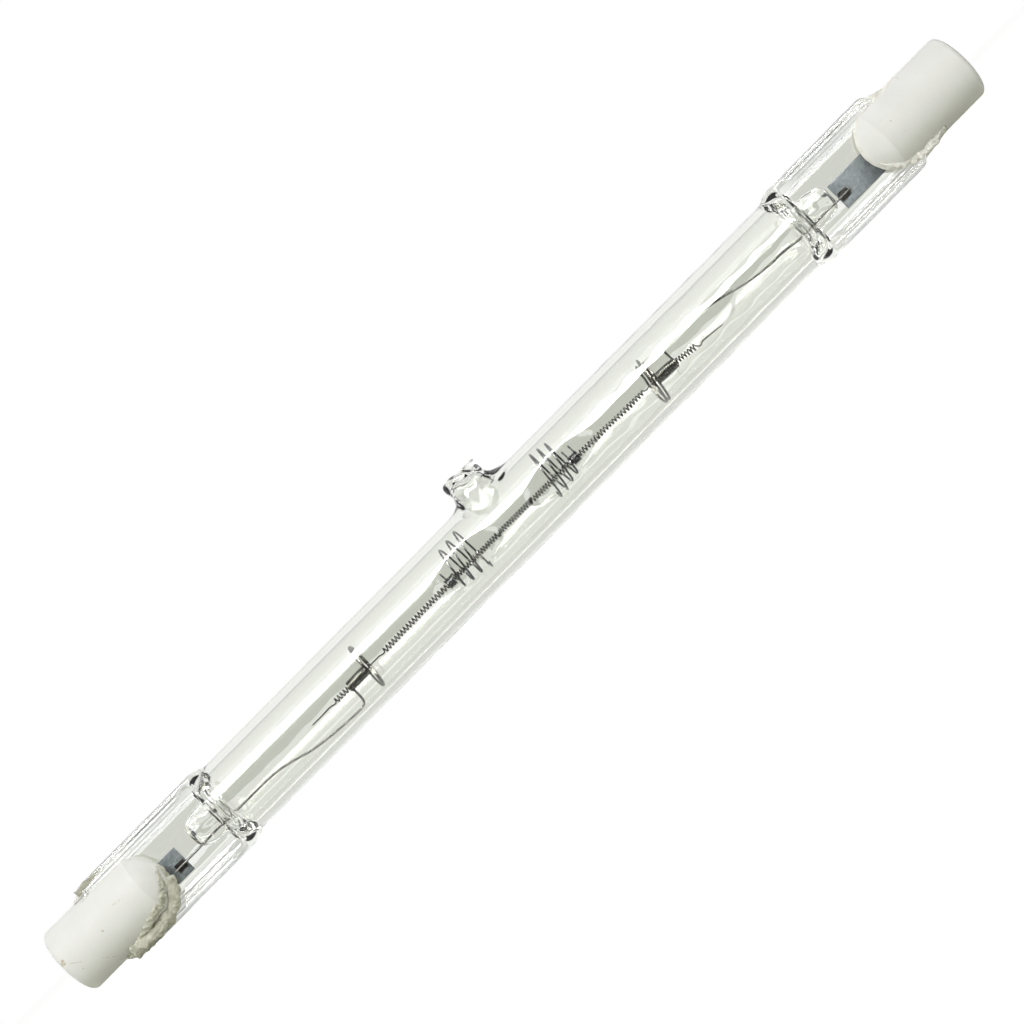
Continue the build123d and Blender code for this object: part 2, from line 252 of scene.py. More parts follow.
def noise(tree, grain, detail=4.0, roughness=0.55, stretch=(1, 1, 1)):
    """Noise between 0 and 1 in Object coordinates, its lumps about grain millimetres across."""
    place = tree.nodes.new("ShaderNodeTexCoord")
    scaling = tree.nodes.new("ShaderNodeMapping")
    scaling.inputs["Scale"].default_value = stretch
    texture = tree.nodes.new("ShaderNodeTexNoise")
    texture.inputs["Scale"].default_value = 1 / (grain * MILLIMETRE)
    texture.inputs["Detail"].default_value = detail
    texture.inputs["Roughness"].default_value = roughness
    tree.links.new(place.outputs["Object"], scaling.inputs["Vector"])
    tree.links.new(scaling.outputs["Vector"], texture.inputs["Vector"])
    return texture.outputs["Fac"]


def ramp(tree, value, stops):
    """Colours, or greys, at places between 0 and 1 of a value."""
    node = tree.nodes.new("ShaderNodeValToRGB")
    elements = node.color_ramp.elements
    for index, (place, colour) in enumerate(stops):
        element = elements[index] if index < len(elements) else elements.new(place)
        element.position = place
        element.color = (*colour, 1) if isinstance(colour, tuple) else (colour, colour, colour, 1)
    tree.links.new(value, node.inputs["Fac"])
    return node.outputs["Color"]


def mix_colour(tree, factor, first, second, blend="MIX"):
    """Mix of two colours, given as sockets or as plain colours."""
    node = tree.nodes.new("ShaderNodeMix")
    node.data_type = "RGBA"
    node.blend_type = blend
    for socket, value in ((node.inputs[0], factor), (node.inputs[6], first), (node.inputs[7], second)):
        if isinstance(value, bpy.types.NodeSocket):
            tree.links.new(value, socket)
        else:
            socket.default_value = (*value, 1) if isinstance(value, tuple) else value
    return node.outputs[2]


def show_mix(tree, factor, first, second):
    """Shows a mix of two shaders on the surface: the first at a factor of 0, the second at 1."""
    node = tree.nodes.new("ShaderNodeMixShader")
    for socket, value in zip(node.inputs, (factor, first, second)):
        tree.links.new(value, socket)
    tree.links.new(node.outputs["Shader"], tree.nodes["Material Output"].inputs["Surface"])


def bump(tree, shader, height, depth, strength=1.0):
    """Bump of a height between 0 and 1, depth millimetres deep."""
    node = tree.nodes.new("ShaderNodeBump")
    node.inputs["Distance"].default_value = depth * MILLIMETRE
    node.inputs["Strength"].default_value = strength
    tree.links.new(height, node.inputs["Height"])
    tree.links.new(node.outputs["Normal"], shader.inputs["Normal"])


# %% [markdown]
# ## Tints by place
# Some finishes change from one place to another. They could be painted on a picture, but that needs a UV
# map. Here the place itself is split into its axes, and a Map Range node turns one of them into a share.

# %% Shares of a place
def combined(tree, operation, first, second=0.0):
    """Math node on two values, given as sockets or as plain numbers."""
    node = tree.nodes.new("ShaderNodeMath")
    node.operation = operation
    for socket, value in zip(node.inputs, (first, second)):
        if isinstance(value, bpy.types.NodeSocket):
            tree.links.new(value, socket)
        else:
            socket.default_value = value
    return node.outputs[0]


def share_between(tree, axis, low, high, both_sides=False):
    """Share from 0 to 1 of the way between two places on an axis, in millimetres, or between two distances
    on both sides of its middle."""
    place = tree.nodes.new("ShaderNodeTexCoord")
    split = tree.nodes.new("ShaderNodeSeparateXYZ")
    share = tree.nodes.new("ShaderNodeMapRange")
    share.inputs["From Min"].default_value = low * MILLIMETRE
    share.inputs["From Max"].default_value = high * MILLIMETRE
    tree.links.new(place.outputs["Object"], split.inputs["Vector"])
    distance = split.outputs[axis]
    if both_sides:
        distance = combined(tree, "ABSOLUTE", distance)
    tree.links.new(distance, share.inputs["Value"])
    return share.outputs["Result"]


# %% [markdown]
# ## Quartz
# Fused quartz is clear, with a faint grey-green cast where the eye looks through two walls. It could be a
# Glass shader, but Principled glass keeps its IOR and its gloss on sockets. The seals' edges gather grey
# from their surroundings, more than this stage gives them, so rails and rims get painted shade: a grey
# tint in their colour. Light shines through the quartz: for shadow rays a Transparent shader takes its
# place, as it throws hardly any shadow.

# %% Quartz finish
# The rail and rim greys are painted shade, in place of what the seals' edges would refract.
clear_tint, rail_painted_shade, rim_painted_shade = (0.90, 0.91, 0.875), (0.77, 0.78, 0.75), (0.45, 0.46, 0.46)
tint_reach = 5.0
tint_start = (38.6, 40.0)


def painted_seal_shade(tree):
    """Painted shade on the seals by distance from their middle line, the same above and below: clear on the
    web, greyer on the striped rails, darkest on the pressed rims. Between the shoulders it is clear."""
    levels = ((2.7, clear_tint), (3.0, rail_painted_shade), (4.08, rail_painted_shade), (4.2, rim_painted_shade))
    height = share_between(tree, "Z", 0.0, tint_reach, both_sides=True)
    banded = ramp(tree, height, [(level / tint_reach, tint) for level, tint in levels])
    sealed = share_between(tree, "X", *tint_start, both_sides=True)
    return mix_colour(tree, sealed, clear_tint, banded)


def quartz_finish():
    """Clear quartz with the seals' painted shade and a faint bump, and an open way for shadow rays."""
    material, tree, shader = finish_of(
        "clear_quartz",
        Base_Color=(*clear_tint, 1),
        Transmission_Weight=1.0,
        IOR=1.458,
        Roughness=0.0,
    )
    # The seals' painted shade goes into the glass colour here.
    tree.links.new(painted_seal_shade(tree), shader.inputs["Base Color"])
    bump(tree, shader, noise(tree, 2.2, detail=2.0), 0.008)
    path = tree.nodes.new("ShaderNodeLightPath")
    open_way = tree.nodes.new("ShaderNodeBsdfTransparent")
    open_way.inputs["Color"].default_value = (0.93, 0.935, 0.92, 1)
    show_mix(tree, path.outputs["Is Shadow Ray"], shader.outputs["BSDF"], open_way.outputs["BSDF"])
    return material


quartz = quartz_finish()
print("finish", quartz.name)

# %% [markdown]
# ## Wires, foils and the rest of the finishes
# Drawn tungsten and molybdenum are dark grey metals with a satin shine. Foil sealed in quartz looks
# blue-grey and dull, and the weld tab on it nearly black. One even colour would look like paint, so one
# function gives each metal a dark and a light tone in patches.

# %% Metal finishes
def wire_finish(name, dark, light, roughness):
    """Drawn wire: dark metal with light patches and a little scatter in its shine."""
    material, tree, shader = finish_of(name, Metallic=1.0)
    patches = noise(tree, 0.35, detail=3.0)
    tree.links.new(ramp(tree, patches, [(0.3, dark), (0.75, light)]), shader.inputs["Base Color"])
    tree.links.new(
        ramp(tree, noise(tree, 0.2), [(0.3, roughness - 0.08), (0.7, roughness + 0.1)]),
        shader.inputs["Roughness"],
    )
    bump(tree, shader, noise(tree, 0.3), 0.003)
    return material


filament_metal = wire_finish("filament_tungsten", (0.035, 0.034, 0.032), (0.09, 0.087, 0.082), 0.36)
support_metal = wire_finish("support_wire", (0.07, 0.07, 0.076), (0.16, 0.16, 0.17), 0.22)
lead_metal = wire_finish("lead_molybdenum", (0.085, 0.083, 0.08), (0.18, 0.176, 0.168), 0.22)
foil_metal = wire_finish("foil_molybdenum", (0.06, 0.068, 0.076), (0.14, 0.152, 0.162), 0.5)
tab_metal = wire_finish("weld_tab_metal", (0.006, 0.006, 0.006), (0.03, 0.028, 0.026), 0.55)
outer_lead_metal = wire_finish("outer_lead_metal", (0.2, 0.2, 0.2), (0.4, 0.4, 0.39), 0.35)


def contact_finish():
    """Nickel-plated button: bright, with a fine bump and dull smears."""
    material, tree, shader = finish_of("contact_nickel", Metallic=1.0)
    smears = noise(tree, 0.8)
    stops = [(0.3, (0.5, 0.48, 0.44)), (0.7, (0.72, 0.7, 0.66))]
    tree.links.new(ramp(tree, smears, stops), shader.inputs["Base Color"])
    tree.links.new(ramp(tree, smears, [(0.3, 0.42), (0.7, 0.2)]), shader.inputs["Roughness"])
    bump(tree, shader, noise(tree, 0.12), 0.006)
    return material


contact_metal = contact_finish()
metals = (filament_metal, support_metal, lead_metal, foil_metal, tab_metal, outer_lead_metal, contact_metal)
print("finishes", [metal.name for metal in metals])

# %% [markdown]
# ## Ceramic
# The caps are fired steatite: off-white, matte, with faint clouds, a few brown specks and tiny pits. The
# left one has a chip at its rim and some hairlines. Such marks could be cut into the mesh, but they are too
# shallow to show a form, so each is an ellipse of another colour in Object coordinates.

# %% Ceramic finish
mark_front, mark_depth = 3.4, 3.0


def mark(tree, along, up, half_length, half_width, turn):
    """Mask of a small mark on the front of a cap, in millimetres: 1 inside a turned ellipse, 0 outside."""
    source = tree.nodes.new("ShaderNodeTexCoord")
    fit = tree.nodes.new("ShaderNodeMapping")
    fit.vector_type = "TEXTURE"
    middle, halves = (along, -mark_front, up), (half_length, mark_depth, half_width)
    fit.inputs["Location"].default_value = [MILLIMETRE * value for value in middle]
    fit.inputs["Rotation"].default_value = (0, math.radians(turn), 0)
    fit.inputs["Scale"].default_value = [MILLIMETRE * value for value in halves]
    reach = tree.nodes.new("ShaderNodeVectorMath")
    reach.operation = "LENGTH"
    tree.links.new(source.outputs["Object"], fit.inputs["Vector"])
    tree.links.new(fit.outputs["Vector"], reach.inputs[0])
    return ramp(tree, reach.outputs["Value"], [(0.55, 1.0), (1.0, 0.0)])


cap_marks = (
    (-58.35, 0.4, 0.28, 0.42, 20, (0.42, 0.36, 0.25)),
    (-57.45, -0.4, 0.95, 0.05, 38, (0.5, 0.46, 0.36)),
    (-55.1, -2.25, 0.95, 0.05, 43, (0.52, 0.5, 0.42)),
    (-51.2, 0.9, 0.3, 0.08, 12, (0.55, 0.5, 0.38)),
    (-50.6, 0.78, 0.25, 0.07, 25, (0.55, 0.5, 0.38)),
)


def ceramic_finish():
    """Matte off-white with clouds, brown specks, the marks of the left cap broken up by noise, and pits."""
    material, tree, shader = finish_of("white_ceramic", Roughness=0.5)
    shader.inputs["Specular IOR Level"].default_value = 0.04
    clouds = ramp(
        tree, noise(tree, 4.0), [(0.25, (0.735, 0.735, 0.70)), (0.75, (0.79, 0.79, 0.765))]
    )
    specks = ramp(tree, noise(tree, 0.55, detail=2.0), [(0.735, 0.0), (0.78, 1.0)])
    tinted = mix_colour(tree, specks, clouds, (0.5, 0.44, 0.32))
    broken = ramp(tree, noise(tree, 0.22, detail=3.0), [(0.42, 0.0), (0.54, 1.0)])
    for *shape, colour in cap_marks:
        worn = mix_colour(tree, 1.0, mark(tree, *shape), broken, "MULTIPLY")
        tinted = mix_colour(tree, worn, tinted, colour)
    tree.links.new(tinted, shader.inputs["Base Color"])
    bump(tree, shader, noise(tree, 0.25, detail=5.0, roughness=0.65), 0.02, 0.6)
    return material


ceramic = ceramic_finish()
print("finish", ceramic.name, "with", len(cap_marks), "marks")

# %% [markdown]
# ## Cement colours
# The cement is a beige paste that dried to a crumbly crust, paler where it was smeared. The thin strip on
# the left seal's upper rail is olive. One noise gives the crumbs both their colour and their bump, so that
# they match.

# %% Cement finishes
smear_start, smear_full = -0.2, 0.9


def cement_finish(name, deep, middle, light, depth, smeared=None):
    """Crumbly paste: three colours by the height of its crumbs, and their bump. Above the lamp's middle it
    turns to a smeared colour, if there is one."""
    material, tree, shader = finish_of(name, Roughness=0.9)
    crumbs = noise(tree, 0.6, detail=6.0, roughness=0.7)
    colour = ramp(tree, crumbs, [(0.3, deep), (0.46, middle), (0.7, light)])
    if smeared:
        colour = mix_colour(tree, share_between(tree, "Z", smear_start, smear_full), colour, smeared)
    tree.links.new(colour, shader.inputs["Base Color"])
    bump(tree, shader, crumbs, depth, 0.8)
    return material


cement = cement_finish(
    "beige_cement", (0.25, 0.23, 0.16), (0.48, 0.475, 0.39), (0.66, 0.65, 0.56), 0.12,
    smeared=(0.73, 0.73, 0.69),
)
pale_cement = cement_finish("pale_cement", (0.6, 0.58, 0.5), (0.76, 0.75, 0.695), (0.815, 0.81, 0.77), 0.05)
# Olive finish of the thin strip on the left seal's upper rail.
olive_strip_finish = cement_finish("olive_strip_finish", (0.2, 0.19, 0.14), (0.37, 0.365, 0.3), (0.5, 0.49, 0.42), 0.06)
print("finishes", [finish.name for finish in (cement, pale_cement, olive_strip_finish)])

# %% [markdown]
# ## The quartz skin
# The outside starts as a round tube on a grid of angles and places along the lamp. Towards each end the
# round section is mixed with the section of the flat seal. A lattice could press a tube flat, but the mix
# keeps both sections exact. The seal's section is a closed B-spline with a rail at each edge and a thin web
# between.

# %% Section of the seal
ridge_pitch = 0.37
ridge_depth = 0.045


def seal_section(angles):
    """Outline of the seal across the lamp for each angle round the section. Its points lie three times
    closer on the rails. Cosine ridges for the rails' faces come as a third array."""
    width, rail = seal_half_width, seal_half
    quarter = [
        (width + 0.03, 0.8),
        (width + 0.05, rail + 0.05),
        (width - 0.6, rail + 0.02),
        (3.5, rail + 0.02),
        (2.95, web_half - 0.03),
        (2.3, web_half),
        (1.1, web_half),
    ]
    turned = [(-up, front) for up, front in quarter[::-1]]
    upper = [(width + 0.03, 0.0), *quarter, (0.0, web_half), *turned, (-width - 0.03, 0.0)]
    lower = [(up, -front) for up, front in upper[-2:0:-1]]
    outline = smooth_line(upper + lower, 4000, loop=True)
    closed = np.concatenate([outline, outline[:1]])
    on_rail = (np.abs(closed[:, 0]) > 2.9) & (np.abs(closed[:, 1]) > 1.0)
    step = np.linalg.norm(np.diff(closed, axis=0), axis=-1) * (1 + 2 * on_rail[1:])
    length = np.concatenate([[0], np.cumsum(step)])
    share = (angles % (2 * np.pi)) / (2 * np.pi) * length[-1]
    up, front = (np.interp(share, length, closed[:, axis]) for axis in (0, 1))
    face = ease((np.abs(up) - 2.9) / 0.3) * ease((4.35 - np.abs(up)) / 0.2) * (np.abs(front) > 1.0)
    ridges = ridge_depth * np.cos(2 * np.pi * up / ridge_pitch) * face
    return up, front, np.sign(front) * ridges


def spaced(places, steps):
    """Places along the lamp: from each given place to the next one by its own step."""
    stretches = zip(places, places[1:], steps)
    runs = [np.arange(start, finish - step / 2, step) for start, finish, step in stretches]
    return np.concatenate(runs + [places[-1:]])


tip_span = 3.3
slope_span = 3.4
end_span = 1.2
quartz_places = (
    -seal_end[-1], -seal_end[-1] + end_span, -shoulder[-1] - slope_span, -shoulder[-1] + slope_span,
    tip_place - tip_span, tip_place + tip_span,
    shoulder[1] - slope_span, shoulder[1] + slope_span, seal_end[1] - end_span, seal_end[1],
)
quartz_rows = spaced(quartz_places, (0.1, 0.45, 0.11, 0.5, 0.09, 0.25, 0.11, 0.45, 0.1))
top_angles = np.arcsin(np.linspace(-0.8, 0.8, 70))
side_angles = np.linspace(top_angles[-1], 2 * np.pi + top_angles[0], 114)[1:-1]
quartz_angles = np.concatenate([top_angles, side_angles])
print("quartz grid", len(quartz_rows), "x", len(quartz_angles))

# %% [markdown]
# ## Shoulders and sagged flats
# The jaws leave a curved shoulder, further out in the middle than at the edges. Beside each filament support
# the wall has sagged to a shallow flat on the front and on the back. Proportional editing could push it in
# by hand, but a plane that cuts the wall leaves the crisp edge of a flat.

# %% Shoulders and flats
shoulder_bow = 0.75
flats = ((-6.1, 0.42, 4.1), (6.0, 0.40, 4.4))
flat_turn = math.radians(-2.6)
flat_sharpness, flat_fade = 0.03, 0.04
wave_stretch = np.array([0.35, 1.0, 1.0])


def past_shoulder(along):
    """Distance outwards from the plain shoulder of the nearer end."""
    return np.abs(along) - np.where(along < 0, shoulder[-1], shoulder[1])


def beyond_shoulder(along, up):
    """Distance outwards from the bowed shoulder of the nearer end."""
    bow = shoulder_bow * (1 - (up / tube_radius) ** 2)
    return past_shoulder(along) - bow + shoulder_bow / 2


def to_seal_end(along):
    """Distance inwards from the nearer end of the quartz."""
    return np.where(along < 0, seal_end[-1] + along, seal_end[1] - along)


def flattened(along, up, front, radius):
    """Front of a round wall after its sagged flats, a front and a back one at each place: a smooth minimum
    of the wall and a plane that lies deepest in the middle of the flat, by a parabola along the lamp."""
    depth = sum(deep * np.maximum(1 - ((along - place) / half) ** 2, 0) for place, deep, half in flats)
    side = np.where(front > 0, 1, -1)
    towards = side * front * math.cos(flat_turn) + up * math.sin(flat_turn)
    excess = towards - (radius - depth)
    cut = 0.5 * (excess + np.sqrt(excess**2 + flat_sharpness**2))
    return np.where(depth > 0, front - side * cut * ease(depth / flat_fade), front)


def wavy(points, size, seed):
    """Slight unevenness of hand-worked glass, stretched along the lamp."""
    return lumps(points * wave_stretch, size, seed)


print("flats at", [place for place, deep, half in flats], "mm")

# %% [markdown]
# ## Exhaust tip
# The tip was the pump's side tube, melted off. A turned shape could be joined to the tube, but a join in
# clear glass shows. So a disc of points on the grid is pulled onto a turned profile, and the tip grows out
# of the tube with no seam.

# %% Exhaust tip
tip_lean = math.tan(math.radians(6.0))
tip_melt = 1.2
tip_unevenness = 0.05
saddle_place, saddle_half = 2.7, 0.75


def pulled_tip(along, up, front, profile, radius, foot, saddle_lift=0.0):
    """Points near the tip's axis, pulled onto its profile: for a reach from the axis on the plain wall, a
    new distance and a lift. Above the foot the lift counts from the wall's crown, below it from the wall.
    A saddle, a bell curve beside the tip, is lifted too."""
    offset = along - tip_place
    reach = np.hypot(offset, front)
    line = smooth_line(profile, 600)
    inside = (reach < line[-1, 0]) & (up > 0)
    distance = np.interp(reach, line[:, 0], line[:, 1])
    lift = np.interp(reach, line[:, 0], line[:, 2])
    turn = distance / np.maximum(reach, 1e-6)
    new_offset, new_front = offset * turn, front * turn
    wall = np.sqrt(np.maximum(up**2 + front**2 - new_front**2, 0))
    melt = ease((foot - reach) / tip_melt)
    saddle = saddle_lift * np.exp(-(((new_offset - saddle_place) / saddle_half) ** 2) - new_front**2)
    uneven = lumps(lamp_points(new_offset, lift, new_front), 1.7, 5) * melt
    new_up = wall + (radius - wall) * melt + lift + tip_unevenness * uneven * lift + saddle
    sway = tip_lean * lift
    widen = 1 + tip_unevenness * uneven
    return (
        np.where(inside, tip_place + new_offset * widen, along),
        np.where(inside, new_up, up),
        np.where(inside, new_front * widen + sway, front),
    )


print("exhaust tip at", tip_place, "mm")

# %% [markdown]
# ## Outside of the glass
# Tube, seals, ridges, ripples, flats and tip are worked into one grid, one after the other. Modifiers could
# do some of it, but each step here needs the result of the one before it.

# %% Outer glass
slope_length = 1.7
flare_length, flare_share = 1.5, 0.7
corner_rounding = 1.0
ridge_start, ridge_run = 1.6, 1.5
tube_ripple, right_ripple, right_start, right_run = 0.0006, 0.0042, 8.0, 6.0
tube_swell, seal_swell = 0.0035, 0.004


def outer_glass():
    """Round tube mixed with the seal's section beyond each shoulder, then dents and tip."""
    along, angle = np.meshgrid(quartz_rows, quartz_angles, indexing="ij")
    round_up, round_front = tube_radius * np.cos(angle), tube_radius * np.sin(angle)
    flat_up, flat_front, ridges = seal_section(angle)
    outwards = beyond_shoulder(along, round_up)
    flat = ease(outwards / (slope_length + (round_up / tube_radius) ** 2) + 0.5)
    spread = ease(outwards / flare_length + flare_share)
    corner = np.clip(1 - to_seal_end(along) / corner_rounding, 0, 1)
    trim = 1 - corner_rounding / seal_half_width * (1 - np.sqrt(1 - corner**2))
    up = (round_up + (flat_up - round_up) * spread) * trim
    ridges = ridges * ease((outwards - ridge_start) / ridge_run)
    front = round_front + (flat_front - round_front) * flat + ridges
    points = lamp_points(along, up, front)
    ripple = tube_ripple + right_ripple * ease((along - right_start) / right_run)
    ripple = ripple * lumps(points, 2.0, 6) * np.sin(angle) ** 2
    on_tube = tube_swell * wavy(points, 5.0, 3) + ripple
    swell = 1 + on_tube * (1 - flat) + seal_swell * wavy(points, 2.2, 4) * flat
    swell -= swell.max() - 1
    up, front = up * swell, front * swell
    front = flattened(along, up, front, tube_radius)
    profile = [
        (0.0, 0.0, 2.44), (0.5, 0.85, 2.43), (0.9, 1.45, 2.42), (1.15, 1.82, 2.36), (1.3, 2.0, 2.15),
        (1.5, 2.06, 1.8), (1.7, 2.03, 1.45), (1.95, 1.98, 1.08), (2.2, 2.02, 0.72), (2.45, 2.2, 0.42),
        (2.7, 2.5, 0.21), (3.0, 2.9, 0.08), (3.3, 3.27, 0.02), (3.6, 3.6, 0.0), (3.9, 3.9, 0.0),
        (4.2, 4.2, 0.0),
    ]
    along, up, front = pulled_tip(along, up, front, profile, tube_radius, 3.2, saddle_lift=0.2)
    return lamp_points(along, up, front)


outside = outer_glass()
print("outer glass", outside.shape[0], "x", outside.shape[1], "points")

# %% [markdown]
# ## Inside of the glass
# The gas space is a skin of its own with its faces turned inwards, so that light is bent at both faces of
# the wall. A Solidify modifier would give an even wall, but the bore ends in a flat pocket where the jaws
# pressed it shut.

# %% Inner glass
bore_slope_length, bore_slope_lead = 2.2, 0.45
bore_end_length, bore_end_delay = 1.1, 0.75
pocket_length, pocket_half_width, pocket_half_height, pocket_rounding = 4.1, 1.75, 0.6, 2.0
pocket_tip_share = 0.25
bore_swell, pocket_swell = 0.004, 0.05
pocket_span = 3.6
inner_places = (
    -shoulder[-1] - pocket_length, -shoulder[-1] - pocket_span, -shoulder[-1] + slope_span,
    tip_place - tip_span, tip_place + tip_span,
    shoulder[1] - slope_span, shoulder[1] + pocket_span, shoulder[1] + pocket_length,
)
inner_rows = spaced(inner_places, (0.03, 0.12, 0.5, 0.1, 0.5, 0.12, 0.03))


def inner_glass():
    """Round bore that is pressed flat at each shoulder, then closes to a pocket with a rounded tongue."""
    angles = np.linspace(0, 2 * np.pi, 104, endpoint=False)
    along, angle = np.meshgrid(inner_rows, angles, indexing="ij")
    round_up = np.cos(angle)
    outwards = beyond_shoulder(along, bore_radius * round_up)
    narrow = ease((outwards + bore_slope_lead) / bore_slope_length + 0.5)
    closed = ease((outwards - bore_end_delay) / bore_end_length + 0.5)
    run_out = np.clip((past_shoulder(along) - pocket_length + pocket_rounding) / pocket_rounding, 0, 1)
    tongue = np.sqrt(np.maximum(1 - run_out**3, 1e-4))
    pocket_width = pocket_half_width * (pocket_tip_share + (1 - pocket_tip_share) * tongue)
    pocket_height = pocket_half_height * tongue
    up = round_up * (bore_radius + (pocket_width - bore_radius) * closed)
    front = np.sin(angle) * (bore_radius + (pocket_height - bore_radius) * narrow)
    points = lamp_points(along, up, front)
    swell = 1 + bore_swell * wavy(points, 5.0, 3) + pocket_swell * lumps(points, 1.1, 8) * narrow
    up, front = up * swell, front * swell
    front = flattened(along, up, front, bore_radius)
    profile = [
        (0.0, 0.0, 2.8), (0.4, 0.8, 2.75), (0.7, 1.25, 2.5), (0.95, 1.48, 2.05), (1.2, 1.56, 1.5),
        (1.45, 1.64, 0.95), (1.75, 1.82, 0.5), (2.05, 2.08, 0.2), (2.35, 2.37, 0.05), (2.7, 2.7, 0.0),
        (3.0, 3.0, 0.0),
    ]
    along, up, front = pulled_tip(along, up, front, profile, bore_radius, 2.5)
    return lamp_points(along, up, front)


make_piece("quartz_tube", [outside, inner_glass()], quartz, ["quartz_envelope"], hollow=[1])

# %% [markdown]
# ## Filament
# The filament is one fine wire: bare at its ends, coiled where it is held, bare again, and then coiled all
# along the middle, wider spaced at the sides than between its supports. A Screw modifier would give one even
# coil. Here the turns are counted along a list of stations, so pitch and straight runs change freely.

# %% Filament wire
filament_radius = 0.068
coil_distance = 0.245
leg_bend = 0.7
points_per_turn, points_per_millimetre = 18, 6
filament_stations = np.array(
    [
        (-27.1, 0.5), (-24.6, 0.5), (-24.1, 0.7), (-22.3, 5.5), (-20.2, 11.5), (-18.2, 11.5),
        (-17.6, 11.7), (-8.4, 35.5), (7.9, 87.5), (16.5, 110.2), (17.1, 110.5), (18.55, 110.5),
        (20.65, 116.5), (22.9, 123.2), (23.4, 123.5), (26.1, 123.5),
    ]
)
filament_level = np.array(
    [
        (-27.1, -0.52), (-22.3, -0.45), (-17.6, -0.36), (-8.0, -0.27), (0.0, -0.22), (8.0, -0.37),
        (16.7, -0.57), (20.65, -0.68), (23.1, -1.1), (26.1, -1.4),
    ]
)


def filament_middle(along):
    """Height of the filament's middle line, which hangs a little between its holds."""
    line = smooth_line(filament_level, 200)
    return np.interp(along, line[:, 0], line[:, 1])


def filament_skin():
    """Turns and places between the stations, with points by turns and by length. On straight runs the
    wire eases in from the coil to the middle line."""
    length, turning = np.diff(filament_stations, axis=0).T
    steps = 1 + np.abs(turning) * points_per_turn + length * points_per_millimetre
    pace = np.concatenate([[0], np.cumsum(steps)])
    place = np.linspace(0, pace[-1], int(pace[-1]))
    along = np.interp(place, pace, filament_stations[:, 0])
    turns = np.interp(place, pace, filament_stations[:, 1])
    spread = np.ones(len(along))
    for start, finish in ((-40.0, -24.1), (-20.2, -17.6), (16.5, 18.55), (23.1, 40.0)):
        spread *= 1 - ease((along - start) / leg_bend) * ease((finish - along) / leg_bend)
    path, reference = wound(along, turns, coil_distance * spread, filament_middle(along))
    return wire_skin(path, filament_radius, reference, 7)


make_piece("filament_coil", [filament_skin()], filament_metal, ["filament"])

# %% [markdown]
# ## Filament supports
# Each support is a wire wound tightly round the filament and then opened into wide turns that stand against
# the wall of the tube. The tight turns end in a little spike. Two coils could be joined, but one formula
# that widens with the turns makes it a single wire, as it is.

# %% Supports
support_radius = 0.1
clump_distance = 0.43
clump_pitch = 2.1 * support_radius
wide_distance = 2.42
wide_level = 0.45
quick_share, quick_turns = 0.86, 0.7


def support_skin(side, clump_place, pitch, wide_turns, slant, shift, clump_turns=4.0):
    """Turns before zero make the clump. Turns after it widen, most of it in the quick turns, and lean along
    the lamp with their height."""
    turns = np.concatenate(
        [np.linspace(-clump_turns, 0, 96, endpoint=False), np.linspace(0, wide_turns, 170)]
    )
    opened = quick_share * ease(turns / quick_turns) + (1 - quick_share) * ease(turns / wide_turns)
    middle = filament_middle(clump_place)
    along = clump_place - side * np.where(turns < 0, turns * clump_pitch, turns * pitch)
    distance = clump_distance + (wide_distance - clump_distance) * opened
    level = middle + (wide_level - middle) * opened
    path, reference = wound(along, side * turns, distance, level)
    path[:, 0] += opened * (shift + slant * (path[:, 1] - level))
    return wire_skin(path, support_radius, reference, 8)


def spike_skin(along, height):
    """Short end of the wire, standing up beside the clump."""
    foot = filament_middle(along) + clump_distance
    route = [(along, foot - 0.6, 0.1), (along, foot, 0.05), (along - 0.05, foot + height, -0.05)]
    return wire_skin(smooth_line(route, 16), support_radius * 0.85, np.array([1.0, 0, 0]))


for side, name, clump_place, pitch, wide_turns, slant, shift, spikes in (
    (-1, "left", -8.25, 1.08, 3.6, 0.058, -0.28, [(-8.85, 0.75)]),
    (1, "right", 7.25, 0.87, 3.6, 0.05, 0.16, [(7.2, 0.8), (8.02, 0.85)]),
):
    skins = [support_skin(side, clump_place, pitch, wide_turns, slant, shift)]
    skins += [spike_skin(place, height) for place, height in spikes]
    make_piece(f"support_wire_{name}", skins, support_metal, [f"filament_support_{name}"])

# %% [markdown]
# ## Inner leads
# From the weld tab a molybdenum wire runs through the quartz into the gas space, hooks up to the filament,
# grips it in ten tight turns and ends in a ring that centres it in the tube. The route is a B-spline,
# the grip and the ring are wound.

# %% Leads
lead_radius = 0.115
grip_distance = 0.43
grip_pitch = 2.07 * lead_radius
grip_turns = 10.0
ring_distance = 2.36
ring_opening = 0.5
lead_routes = {
    "left": [
        (-45.7, -1.05, 0.215), (-44.6, -1.05, 0.215), (-42.0, -1.05, 0.215), (-38.4, -1.05, 0.215),
        (-35.0, -1.07, 0.15), (-32.0, -1.1, 0.08), (-29.2, -2.1, 0.0), (-26.5, -2.5, 0.0),
        (-23.4, -2.68, 0.0), (-22.3, -2.66, 0.0), (-22.12, -2.0, 0.0), (-22.12, -1.2, 0.0),
        (-22.12, -0.9, 0.0), (-22.1, -0.85, 0.05),
    ],
    "right": [
        (43.4, -0.9, 0.215), (42.3, -0.9, 0.215), (40.0, -0.9, 0.215), (37.6, -0.9, 0.215),
        (34.0, -0.7, -0.1), (30.6, -0.45, -0.6), (28.5, 0.4, -1.4), (25.0, 1.2, -1.9),
        (21.2, 1.3, -1.9), (20.62, 1.0, -1.8), (20.6, 0.3, -1.2), (20.58, -0.2, -0.6), (20.56, -0.42, -0.46),
    ],
}


